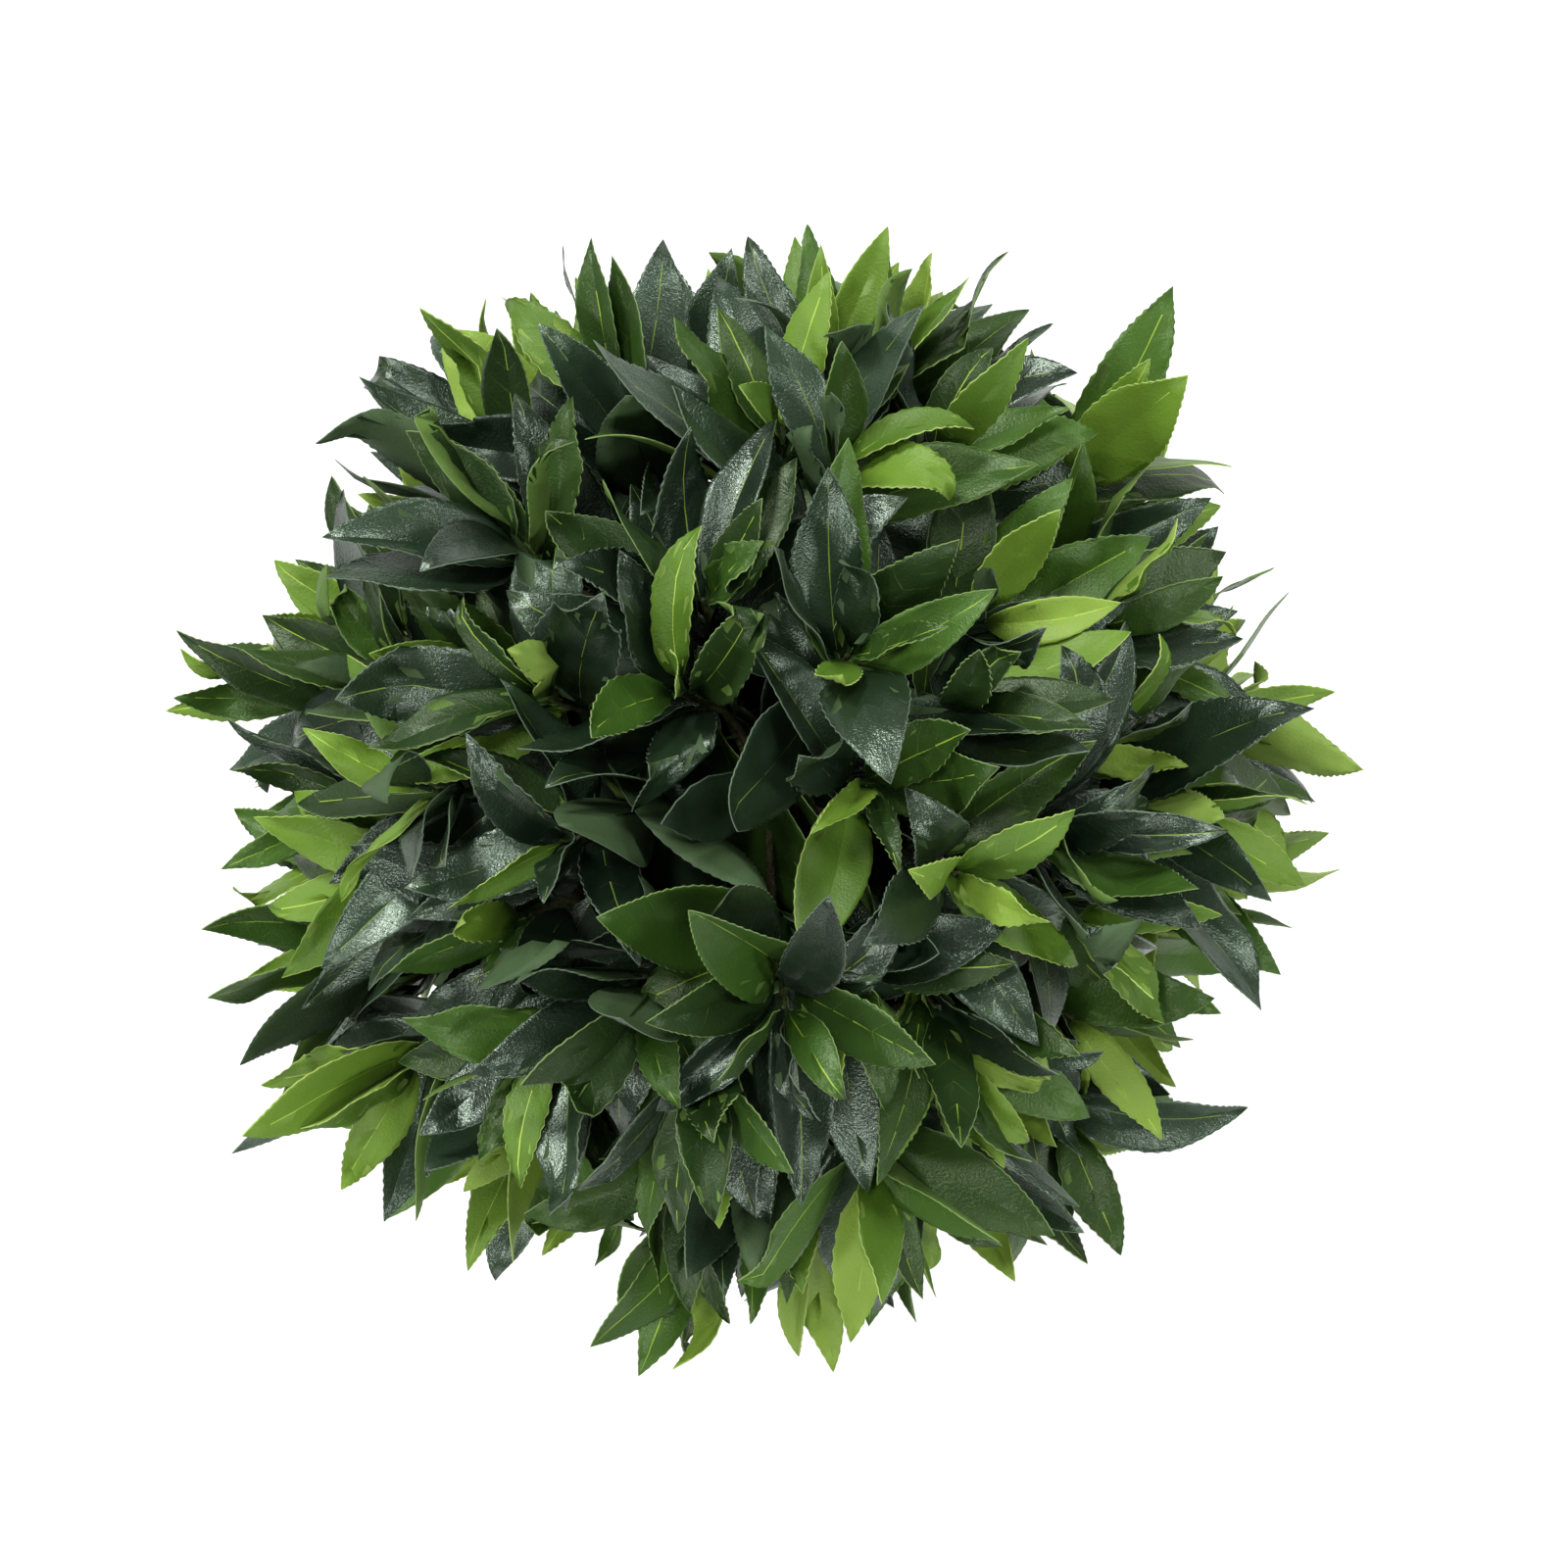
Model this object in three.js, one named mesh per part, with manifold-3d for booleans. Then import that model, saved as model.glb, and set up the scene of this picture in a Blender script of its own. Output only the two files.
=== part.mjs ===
// An artificial laurel grown as a standard: a bare stem that carries a ball of leaves.
// Millimetres, +Z up. The origin is the centre of the stem's flat cut at ground level.
// The crown is a ring-by-ring set of leaf masses, each on its own bough, round an open middle.
import * as THREE from "three";
import { mergeVertices } from "three/addons/utils/BufferGeometryUtils.js";
import Module from "manifold-3d";

const wasm = await Module();
wasm.setup();

// Driving dimensions.
const HEIGHT = 1200; // ground to the highest leaf tips
const CROWN_RADIUS = 229; // crown centre to the furthest leaf tips
const MASS_DEPTH = 116; // how far a leaf mass reaches in from the crown's outline
const STEM_FOOT_RADIUS = 14.5;
const STEM_TIP_RADIUS = 4;
const BOUGH_FOOT_RADIUS = 4;
const BOUGH_TIP_RADIUS = 2.8;
const JOINT_GAP = 0.4; // between a bough and the stem, and between a limb and its leaf mass

// Stem form.
const FLARE = 7.5; // how much wider the foot is than the stem above it
const FLARE_HEIGHT = 34; // the height over which the flare dies away
const FLARE_LOBES = 5;
const LOBE_DEPTH = 0.16; // lobes of the flare, as a share of the stem's radius
const TAPER_POWER = 2.6; // over 1, the stem keeps its girth up to the crown
const STEM_SWAY = 3.2; // how far the stem wanders from straight
const SWAY_TURN = 2.4; // how far round the sway turns on its way up, in radians
const FOOT_CROWDING = 0.65; // over 0, the stem's steps are closer together towards its foot
const STEM_SIDES = 16;
const STEM_STEPS = 22;

// Crown form.
const CROWN_CENTRE = HEIGHT - CROWN_RADIUS;
const MASS_FOOT = CROWN_RADIUS - MASS_DEPTH; // crown centre to the inner face of a mass
const THROAT_ANGLE = 0.4; // opening round the stem below the crown, from straight down, in radians
const GROOVE = 0.02; // half the groove between two masses, in radians
const LUMP = 3.6; // unevenness of a mass's outer face
const LOW_MASS_SHARE = 0.015; // how much some masses stand lower than others, as a share of the radius
const MASS_SIDES = 18;
const MASS_RINGS = 10;
const WIDTH_POWER = 0.5; // under 1, the flanks of a mass are full
const DEPTH_POWER = 0.5; // under 1, its outer and inner faces are broad domes
const CORNER_POWER = 14; // lower values round the corners of a mass more

// Bough form.
const BOUGH_SIDES = 6;
const BOUGH_STEPS = 5;
const LEAVING_SHARE = 0.4; // how long a bough keeps its first direction, as a share of its run
const ARRIVING_SHARE = 0.3; // how long it keeps its last direction

// Each tier of masses: how many, its height angle above the crown's equator, the turn of its first
// mass, and where its boughs leave the stem, as a height from the crown's centre.
const TIERS = [
  { name: "upper", count: 6, rise: 38, turn: 14, from: 30, arch: 0.1 },
  { name: "middle", count: 8, rise: -3, turn: 3, from: -8, arch: 0.16 },
  { name: "lower", count: 6, rise: -42, turn: 37, from: -44, arch: 0.3 },
];
const LEVELS = 3; // heights at which the boughs of a tier leave the stem, in turn
const LEVEL_STEP = 9.5;
const TURN_WANDER = 5; // degrees by which a mass strays from even spacing
const RISE_WANDER = 3.5;

const radians = THREE.MathUtils.degToRad;

// A repeatable value from -1 to 1 for the nth thing of a kind.
function wander(n, kind) {
  return Math.sin(n * 12.9898 + kind * 4.1414) * Math.cos(n * 3.71 + kind * 1.93);
}

function direction(turn, rise) {
  const across = Math.cos(radians(rise));
  return new THREE.Vector3(
    across * Math.cos(radians(turn)),
    across * Math.sin(radians(turn)),
    Math.sin(radians(rise)),
  );
}

// The sites that share the crown out: one on top, then the tiers.
function crownSites() {
  const sites = [{ name: "top", towards: new THREE.Vector3(0, 0, 1), seed: 0 }];
  for (const tier of TIERS) {
    for (let i = 0; i < tier.count; i++) {
      const seed = sites.length;
      const turn = tier.turn + (360 * i) / tier.count + TURN_WANDER * wander(seed, 1);
      const rise = tier.rise + RISE_WANDER * wander(seed, 2);
      const from = tier.from + LEVEL_STEP * ((i % LEVELS) - 1);
      const name = `${tier.name}_${i + 1}`;
      sites.push({ name, towards: direction(turn, rise), seed, from, arch: tier.arch });
    }
  }
  return sites;
}

// How far a mass may spread from its own direction, as an angle, where it heads off along side.
// Its neighbours and the throat round the stem limit it, and no limit is ever passed.
function spreadAngle(site, side, sites) {
  const limits = [];
  for (const other of sites) {
    const across = side.dot(other.towards);
    if (other !== site && across > 1e-6) {
      limits.push(Math.atan2(1 - site.towards.dot(other.towards), across));
    }
  }
  const down = -site.towards.z;
  const sideDown = -side.z;
  const reach = Math.hypot(down, sideDown);
  if (reach > Math.cos(THROAT_ANGLE)) {
    const limit = Math.atan2(sideDown, down) - Math.acos(Math.cos(THROAT_ANGLE) / reach);
    if (limit > 0) limits.push(limit);
  }
  const blended = limits.reduce((sum, limit) => sum + limit ** -CORNER_POWER, 0);
  return blended ** (-1 / CORNER_POWER) - GROOVE;
}

// Unevenness of the crown's outline in one direction, from -1 to 1.
function lumps(towards, seed) {
  const { x, y, z } = towards;
  const coarse = Math.sin(9 * x + 2.1 * seed) * Math.cos(8 * y - 1.7 * seed);
  const fine = Math.sin(17 * z + 3.3 * seed) * Math.sin(15 * x - 13 * y + seed);
  return 0.6 * coarse + 0.4 * fine;
}

// One leaf mass: a sphere's grid laid out round the site's direction, so that its pole is the
// outermost point, its equator the flank beside the neighbouring masses, and its other pole the
// foot that the bough meets.
function massGeometry(site, sites) {
  const geometry = new THREE.SphereGeometry(1, MASS_SIDES, MASS_RINGS);
  const place = geometry.getAttribute("position");
  const upright = Math.abs(site.towards.z) > 0.9;
  const guide = upright ? new THREE.Vector3(1, 0, 0) : new THREE.Vector3(0, 0, 1);
  const east = new THREE.Vector3().crossVectors(guide, site.towards).normalize();
  const north = new THREE.Vector3().crossVectors(site.towards, east);
  const middle = CROWN_RADIUS - MASS_DEPTH / 2;
  const standLow = LOW_MASS_SHARE * CROWN_RADIUS * (0.5 + 0.5 * wander(site.seed, 3));
  for (let i = 0; i < place.count; i++) {
    const out = THREE.MathUtils.clamp(place.getY(i), -1, 1);
    const aside = Math.hypot(place.getX(i), place.getZ(i));
    const around = Math.atan2(-place.getZ(i), place.getX(i));
    const side = east.clone().multiplyScalar(Math.cos(around));
    side.addScaledVector(north, Math.sin(around));
    const angle = spreadAngle(site, side, sites) * aside ** WIDTH_POWER;
    const towards = site.towards.clone().multiplyScalar(Math.cos(angle));
    towards.addScaledVector(side, Math.sin(angle));
    const depth = (MASS_DEPTH / 2) * Math.sign(out) * Math.abs(out) ** DEPTH_POWER;
    const outer = Math.max(out, 0);
    const uneven = outer * (LUMP * lumps(towards, site.seed) - standLow);
    towards.multiplyScalar(middle + depth + uneven);
    place.setXYZ(i, towards.x, towards.y, towards.z + CROWN_CENTRE);
  }
  return geometry;
}

const STEM_TOP = CROWN_CENTRE + MASS_FOOT - JOINT_GAP;

function stemCentre(z) {
  const along = z / CROWN_CENTRE;
  const sway = STEM_SWAY * Math.sin(Math.PI * along) ** 2;
  const towards = SWAY_TURN * along;
  return z < CROWN_CENTRE ? [sway * Math.cos(towards), sway * Math.sin(towards)] : [0, 0];
}

// Taper from foot to tip, with a lobed flare at the ground.
function stemRadius(z, around) {
  const taper = THREE.MathUtils.lerp(STEM_FOOT_RADIUS, STEM_TIP_RADIUS, (z / STEM_TOP) ** TAPER_POWER);
  const foot = Math.exp(-z / FLARE_HEIGHT);
  const lobes = 1 + LOBE_DEPTH * foot * Math.cos(FLARE_LOBES * around);
  return (taper + FLARE * foot) * lobes;
}

// The stem, or the room that it takes when clearance is added to its radius.
function stemGeometry(clearance = 0) {
  const geometry = new THREE.CylinderGeometry(1, 1, 1, STEM_SIDES, STEM_STEPS);
  const place = geometry.getAttribute("position");
  for (let i = 0; i < place.count; i++) {
    const up = place.getY(i) + 0.5;
    const climb = (1 - FOOT_CROWDING) * up + FOOT_CROWDING * up * up;
    const z = STEM_TOP * climb + (up > 0.5 ? clearance : 0);
    const around = Math.atan2(-place.getZ(i), place.getX(i));
    const share = Math.hypot(place.getX(i), place.getZ(i));
    const radius = share * (stemRadius(Math.min(z, STEM_TOP), around) + clearance);
    const [x, y] = stemCentre(z);
    place.setXYZ(i, x + radius * Math.cos(around), y + radius * Math.sin(around), z);
  }
  return geometry;
}

// One bough: it starts inside the stem, arches out and ends square on the foot of its mass.
function boughGeometry(site) {
  const centre = new THREE.Vector3(0, 0, CROWN_CENTRE);
  const [x, y] = stemCentre(CROWN_CENTRE + site.from);
  const start = new THREE.Vector3(x, y, CROWN_CENTRE + site.from);
  const end = centre.clone().addScaledVector(site.towards, MASS_FOOT - JOINT_GAP);
  const run = start.distanceTo(end);
  const leaving = new THREE.Vector3(site.towards.x, site.towards.y, 0).normalize();
  leaving.z = Math.max(site.towards.z, 0) + site.arch;
  const first = start.clone().addScaledVector(leaving, run * LEAVING_SHARE);
  const second = end.clone().addScaledVector(site.towards, -run * ARRIVING_SHARE);
  const line = new THREE.CubicBezierCurve3(start, first, second, end);
  const frames = line.computeFrenetFrames(BOUGH_STEPS, false);
  const geometry = new THREE.CylinderGeometry(1, 1, 1, BOUGH_SIDES, BOUGH_STEPS);
  const place = geometry.getAttribute("position");
  for (let i = 0; i < place.count; i++) {
    const along = place.getY(i) + 0.5;
    const step = Math.round(along * BOUGH_STEPS);
    const radius = THREE.MathUtils.lerp(BOUGH_FOOT_RADIUS, BOUGH_TIP_RADIUS, along);
    const point = line.getPointAt(along);
    point.addScaledVector(frames.normals[step], radius * place.getZ(i));
    point.addScaledVector(frames.binormals[step], radius * place.getX(i));
    place.setXYZ(i, point.x, point.y, point.z);
  }
  return geometry;
}

// A closed geometry as a solid for cutting, with its shared corners merged.
function toSolid(geometry) {
  const bare = geometry.clone();
  bare.deleteAttribute("normal");
  bare.deleteAttribute("uv");
  const merged = mergeVertices(bare, 1e-3);
  const vertProperties = new Float32Array(merged.getAttribute("position").array);
  const triVerts = new Uint32Array(merged.index.array);
  return new wasm.Manifold(new wasm.Mesh({ numProp: 3, vertProperties, triVerts }));
}

function toGeometry(solid) {
  const mesh = solid.getMesh();
  const geometry = new THREE.BufferGeometry();
  geometry.setAttribute("position", new THREE.BufferAttribute(mesh.vertProperties, 3));
  geometry.setIndex(new THREE.BufferAttribute(mesh.triVerts, 1));
  geometry.computeVertexNormals();
  return geometry;
}

function material(color, roughness) {
  return new THREE.MeshStandardMaterial({ color, roughness, metalness: 0 });
}

function addMesh(group, name, geometry, finish) {
  const mesh = new THREE.Mesh(geometry, finish);
  mesh.name = name;
  group.add(mesh);
}

const bark = material(0x6a5139, 0.85);
const boughBark = material(0x4f4430, 0.8);
const foliage = material(0x2f4a2c, 0.55);

const laurel = new THREE.Group();
const sites = crownSites();
addMesh(laurel, "trunk", stemGeometry(), bark);
const stemRoom = toSolid(stemGeometry(JOINT_GAP));
for (const site of sites) {
  addMesh(laurel, `crown_${site.name}`, massGeometry(site, sites), foliage);
  if (site.from !== undefined) {
    const clear = toSolid(boughGeometry(site)).subtract(stemRoom);
    addMesh(laurel, `bough_${site.name}`, toGeometry(clear), boughBark);
  }
}

export default laurel;
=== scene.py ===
"""The looks of an artificial laurel standard: a stem with bark, covered wire boughs, twigs and a ball of
printed fabric leaves. The leaves sit in sprays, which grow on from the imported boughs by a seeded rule."""

import math
from types import SimpleNamespace

import bpy
import numpy as np
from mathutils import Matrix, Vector, noise
from mathutils.bvhtree import BVHTree


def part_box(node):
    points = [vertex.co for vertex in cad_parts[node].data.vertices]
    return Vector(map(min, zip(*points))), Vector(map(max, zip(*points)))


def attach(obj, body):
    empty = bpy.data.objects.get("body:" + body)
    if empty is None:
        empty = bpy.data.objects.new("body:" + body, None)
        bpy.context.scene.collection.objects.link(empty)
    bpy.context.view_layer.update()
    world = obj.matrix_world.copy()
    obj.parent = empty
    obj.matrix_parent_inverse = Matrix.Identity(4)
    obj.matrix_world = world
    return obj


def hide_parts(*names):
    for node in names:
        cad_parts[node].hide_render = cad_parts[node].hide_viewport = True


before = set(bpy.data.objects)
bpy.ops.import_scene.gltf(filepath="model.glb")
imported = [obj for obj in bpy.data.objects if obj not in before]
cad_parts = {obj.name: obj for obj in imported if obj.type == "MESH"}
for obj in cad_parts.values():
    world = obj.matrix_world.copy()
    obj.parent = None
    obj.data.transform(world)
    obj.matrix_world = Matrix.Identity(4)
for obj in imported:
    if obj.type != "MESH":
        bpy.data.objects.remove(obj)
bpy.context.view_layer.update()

MM = 0.001
UP = np.array([0.0, 0.0, 1.0])
GOLDEN_ANGLE = math.pi * (3 - math.sqrt(5))
random = np.random.default_rng(29)


# ---------------------------------------------------------------- the frame

def node_points(name):
    """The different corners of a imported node's mesh."""
    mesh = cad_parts[name].data
    flat = np.empty(len(mesh.vertices) * 3)
    mesh.vertices.foreach_get("co", flat)
    return np.unique(flat.reshape(-1, 3).round(6), axis=0)


def unit(vector):
    return vector / np.linalg.norm(vector, axis=-1, keepdims=True)


MASSES = sorted(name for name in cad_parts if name.startswith("crown_"))
BOUGHS = sorted(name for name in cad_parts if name.startswith("bough_"))
crown_low = np.min([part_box(name)[0] for name in MASSES], axis=0)
crown_high = np.max([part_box(name)[1] for name in MASSES], axis=0)
CROWN_RADIUS = (crown_high - crown_low)[:2].mean() / 2
CROWN_CENTRE = np.append((crown_low + crown_high)[:2] / 2, crown_high[2] - CROWN_RADIUS)
MASS_WAYS = {name: unit(node_points(name).mean(axis=0) - CROWN_CENTRE) for name in MASSES}


# ---------------------------------------------------------------- materials

def linear(red, green, blue):
    """A colour given in display values from 0 to 255, as the shader wants it."""
    shares = np.array([red, green, blue]) / 255
    values = np.where(shares <= 0.04045, shares / 12.92, ((shares + 0.055) / 1.055) ** 2.4)
    return (*values, 1.0)


def new_material(name, colour, roughness, **sockets):
    """A material with a plain base colour. Returns it with its node tree and its shader."""
    material = bpy.data.materials.new(name)
    material.use_nodes = True
    shader = material.node_tree.nodes["Principled BSDF"]
    shader.inputs["Base Color"].default_value = colour
    shader.inputs["Roughness"].default_value = roughness
    for socket, value in sockets.items():
        shader.inputs[socket.replace("_", " ")].default_value = value
    return material, material.node_tree, shader


def add_bump(tree, shader, height, distance, strength, below=None):
    """Feeds the shader's normal with a relief, over the relief below it."""
    bump = tree.nodes.new("ShaderNodeBump")
    bump.inputs["Distance"].default_value = distance
    bump.inputs["Strength"].default_value = strength
    tree.links.new(height, bump.inputs["Height"])
    if below is not None:
        tree.links.new(below.outputs["Normal"], bump.inputs["Normal"])
    tree.links.new(bump.outputs["Normal"], shader.inputs["Normal"])
    return bump


def noise_of(tree, scale, detail=2.0, roughness=0.5, stretch=(1, 1, 1)):
    """Noise in the object's own coordinates, with the pattern's size as turns in each metre."""
    place = tree.nodes.new("ShaderNodeTexCoord")
    mapping = tree.nodes.new("ShaderNodeMapping")
    mapping.inputs["Scale"].default_value = stretch
    texture = tree.nodes.new("ShaderNodeTexNoise")
    texture.inputs["Scale"].default_value = scale
    texture.inputs["Detail"].default_value = detail
    texture.inputs["Roughness"].default_value = roughness
    tree.links.new(place.outputs["Object"], mapping.inputs["Vector"])
    tree.links.new(mapping.outputs["Vector"], texture.inputs["Vector"])
    return texture.outputs["Fac"]


COATING_SCALE, COATING_DEPTH, COATING_STRENGTH = 110, 0.9 * MM, 0.3
WEAVE_SCALE, WEAVE_DEPTH = 900, 0.25 * MM


def fabric(name, colour, roughness, gloss, weave=1.0, gloss_tint=(1, 1, 1, 1)):
    """Printed leaf cloth: a plain tint, the grain of the weave and slight unevenness of the coating."""
    material, tree, shader = new_material(name, colour, roughness,
                                          Specular_IOR_Level=gloss, Specular_Tint=gloss_tint)
    coating = add_bump(tree, shader, noise_of(tree, COATING_SCALE, 1), COATING_DEPTH, COATING_STRENGTH)
    add_bump(tree, shader, noise_of(tree, WEAVE_SCALE, 2, 0.7), WEAVE_DEPTH, weave, coating)
    return material


def ramp_of(tree, height, low, high, dark=(0, 0, 0, 1), pale=(1, 1, 1, 1)):
    """A pattern's values from low to high, turned into a run from one colour to another."""
    ramp = tree.nodes.new("ShaderNodeValToRGB")
    ramp.color_ramp.elements[0].position, ramp.color_ramp.elements[0].color = low, dark
    ramp.color_ramp.elements[1].position, ramp.color_ramp.elements[1].color = high, pale
    tree.links.new(height, ramp.inputs["Fac"])
    return ramp.outputs["Color"]


def mix_of(tree, blend, share, first, second):
    """Two colours or patterns mixed. share is a number, or a pattern of its own."""
    mix = tree.nodes.new("ShaderNodeMix")
    mix.data_type, mix.blend_type = "RGBA", blend
    if isinstance(share, float):
        mix.inputs["Factor"].default_value = share
    else:
        tree.links.new(share, mix.inputs["Factor"])
    tree.links.new(first, mix.inputs["A"])
    if isinstance(second, tuple):
        mix.inputs["B"].default_value = second
    else:
        tree.links.new(second, mix.inputs["B"])
    return mix.outputs["Result"]


# How fine each layer of a bark is for the bark's own scale, and how it is stretched along the limb.
MOTTLE_FINENESS, MOTTLE_STRETCH = 0.5, (1, 1, 0.4)
FIBRE_FINENESS, FIBRE_STRETCH = 4.5, (1, 1, 0.07)
PORE_FINENESS, PORE_STRETCH = 1.3, (1, 1, 4.5)
MOTTLE_DEPTH, FIBRE_DEPTH, PORE_DEPTH = 2.5 * MM, 1.6 * MM, 0.4 * MM
# Painted shade with the gaps' own darker tone: a dark tint for the low grooves of the fibre relief, and how
# strongly it darkens them.
CRACK_SHADE_TINT = (0.3, 0.27, 0.24, 1)
CRACK_SHADE_SHARE = 0.85
PORE_BRIGHTNESS = 1.7


def bark(name, dark, pale, roughness, scale):
    """Bark: broad mottling, long fibres with dark gaps between them, darkened by their own tone and by
    painted shade, short pale pores and their relief.
    """
    material, tree, shader = new_material(name, pale, roughness, Specular_IOR_Level=0.3)
    mottle = noise_of(tree, scale * MOTTLE_FINENESS, 4, 0.6, MOTTLE_STRETCH)
    fibres = noise_of(tree, scale * FIBRE_FINENESS, 5, 0.7, FIBRE_STRETCH)
    pores = noise_of(tree, scale * PORE_FINENESS, 2, 0.5, PORE_STRETCH)
    body = ramp_of(tree, mottle, 0.35, 0.66, dark, pale)
    # Painted shade: where the fibre pattern is low, which is where the fibre bump has its grooves, the bark
    # colour is darkened.
    crack_shade = ramp_of(tree, fibres, 0.4, 0.53, CRACK_SHADE_TINT)
    crack_shaded = mix_of(tree, "MULTIPLY", CRACK_SHADE_SHARE, body, crack_shade)
    spots = ramp_of(tree, pores, 0.69, 0.74)
    pore_tint = tuple(min(1.0, part * PORE_BRIGHTNESS) for part in pale[:3]) + (1.0,)
    tree.links.new(mix_of(tree, "MIX", spots, crack_shaded, pore_tint), shader.inputs["Base Color"])
    below = add_bump(tree, shader, mottle, MOTTLE_DEPTH, 0.35)
    below = add_bump(tree, shader, fibres, FIBRE_DEPTH, 0.8, below)
    add_bump(tree, shader, spots, PORE_DEPTH, 0.8, below)
    return material


# Tints of each family, from deep to bright.
TOPS = {
    "dark": [linear(20, 33, 21), linear(27, 42, 26), linear(33, 49, 33), linear(39, 56, 39)],
    "green": [linear(31, 51, 20), linear(40, 64, 21), linear(49, 77, 25), linear(60, 91, 31)],
    "light": [linear(76, 108, 32), linear(95, 127, 40), linear(118, 147, 54)],
}
UNDERSIDES = {"dark": linear(60, 80, 50), "green": linear(82, 108, 48), "light": linear(116, 142, 62)}
VEINS = {"dark": linear(48, 66, 34), "green": linear(94, 122, 40), "light": linear(116, 143, 48)}
MIDRIBS = {"dark": linear(108, 132, 48), "green": linear(138, 166, 52), "light": linear(154, 178, 72)}
RIMS = {"dark": linear(90, 104, 86), "green": linear(110, 132, 78), "light": linear(150, 172, 92)}
LEAF_ROUGHNESS = {"dark": 0.26, "green": 0.34, "light": 0.42}
LEAF_GLOSS = {"dark": 0.78, "green": 0.36, "light": 0.28}
GLOSS_TINTS = {"dark": (0.82, 1.0, 0.82, 1), "green": (0.86, 1.0, 0.72, 1), "light": (1, 1, 0.86, 1)}
# Roughness and gloss of the parts that do not differ by family.
UNDERSIDE_FINISH, PRINT_FINISH, EDGE_FINISH = (0.62, 0.2), (0.5, 0.25), (0.8, 0.1)
# The rib's has the strength of its grain as well.
RIB_FINISH = (0.4, 0.4, 0.1)
# How much of a leaf's printed side veins and midrib shows: a share drawn from a range. Under 0 is none.
VEINS_SHOWN = {"dark": (-0.2, 0.9), "green": (0.1, 1.0), "light": (-0.2, 0.7)}
MIDRIBS_SHOWN = -0.3, 0.95

LEAF_MATERIALS = []
MATERIAL_INDEX = {}


def add_leaf_material(key, material):
    MATERIAL_INDEX[key] = len(LEAF_MATERIALS)
    LEAF_MATERIALS.append(material)


for family, tints in TOPS.items():
    for number, tint in enumerate(tints):
        cloth = fabric(f"leaf_{family}_{number + 1}", tint, LEAF_ROUGHNESS[family], LEAF_GLOSS[family],
                       gloss_tint=GLOSS_TINTS[family])
        add_leaf_material((family, "top", number), cloth)
    for part, label, colours, finish in (("under", "underside", UNDERSIDES, UNDERSIDE_FINISH),
                                         ("vein", "vein", VEINS, PRINT_FINISH),
                                         ("midrib", "midrib", MIDRIBS, PRINT_FINISH),
                                         ("rim", "frayed_edge", RIMS, EDGE_FINISH)):
        add_leaf_material((family, part), fabric(f"leaf_{family}_{label}", colours[family], *finish))
add_leaf_material("rib", fabric("leaf_rib_plastic", linear(40, 62, 28), *RIB_FINISH))

TRUNK_BARK = bark("stem_bark", linear(84, 66, 48), linear(134, 110, 82), 0.8, 90)
BOUGH_BARK = bark("covered_wire", linear(40, 38, 22), linear(82, 70, 42), 0.7, 160)
TWIG_PLASTIC = bark("twig_plastic", linear(54, 44, 32), linear(72, 80, 38), 0.6, 120)


# ---------------------------------------------------------------- mesh pieces

def new_piece(name, points, triangles, materials, indices=None, flat=None):
    """A piece of the plant from arrays. indices gives each triangle's material, and flat marks the triangles
    that are not smoothed."""
    mesh = bpy.data.meshes.new(name)
    count = len(triangles)
    mesh.vertices.add(len(points))
    mesh.vertices.foreach_set("co", np.asarray(points, np.float32).ravel())
    mesh.loops.add(count * 3)
    mesh.loops.foreach_set("vertex_index", np.asarray(triangles, np.int32).ravel())
    mesh.polygons.add(count)
    mesh.polygons.foreach_set("loop_start", np.arange(0, count * 3, 3, dtype=np.int32))
    for material in materials:
        mesh.materials.append(material)
    if indices is not None:
        mesh.polygons.foreach_set("material_index", np.asarray(indices, np.int32))
    smooth = np.ones(count, bool) if flat is None else ~np.asarray(flat, bool)
    mesh.polygons.foreach_set("use_smooth", smooth)
    mesh.update(calc_edges=True)
    mesh.validate()
    piece = bpy.data.objects.new(name, mesh)
    bpy.context.scene.collection.objects.link(piece)
    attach(piece, "root")
    return piece


def joined(parts):
    """Joins (points, triangles) pairs into one pair."""
    points, triangles, start = [], [], 0
    for part_points, part_triangles in parts:
        points.append(part_points)
        triangles.append(part_triangles + start)
        start += len(part_points)
    return np.concatenate(points), np.concatenate(triangles)


def ring_mesh(rings):
    """A closed skin over rings of points, an array of ring, side and place, with a fan over each end."""
    count, sides, _ = rings.shape
    triangles = []
    for ring in range(count - 1):
        for side in range(sides):
            a, b = ring * sides + side, ring * sides + (side + 1) % sides
            triangles += [(a, b, b + sides), (a, b + sides, a + sides)]
    foot, tip = count * sides, count * sides + 1
    last = (count - 1) * sides
    for side in range(sides):
        triangles.append((foot, (side + 1) % sides, side))
        triangles.append((tip, last + side, last + (side + 1) % sides))
    points = np.concatenate([rings.reshape(-1, 3), [rings[0].mean(axis=0), rings[-1].mean(axis=0)]])
    return points, np.array(triangles)


def tube(path, radii, sides, roughness=0.0):
    """A round limb along a path, with its own radius at each step and a share of unevenness."""
    ways = unit(np.gradient(path, axis=0))
    across = unit(np.cross(ways[0], [0.37, 0.81, 0.45]))
    rings = []
    for place, way, radius in zip(path, ways, radii):
        across = unit(across - way * across.dot(way))
        third = np.cross(way, across)
        angles = np.arange(sides) * 2 * math.pi / sides
        wobble = 1 + roughness * np.sin(angles * 3 + place.sum() * 900)
        spokes = np.outer(np.cos(angles) * wobble, across) + np.outer(np.sin(angles) * wobble, third)
        rings.append(place + spokes * radius)
    return ring_mesh(np.array(rings))


def bezier(a, b, c, d, steps):
    t = np.linspace(0, 1, steps)[:, None]
    return a * (1 - t) ** 3 + 3 * b * t * (1 - t) ** 2 + 3 * c * t * t * (1 - t) + d * t ** 3


# ---------------------------------------------------------------- stem and boughs

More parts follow.
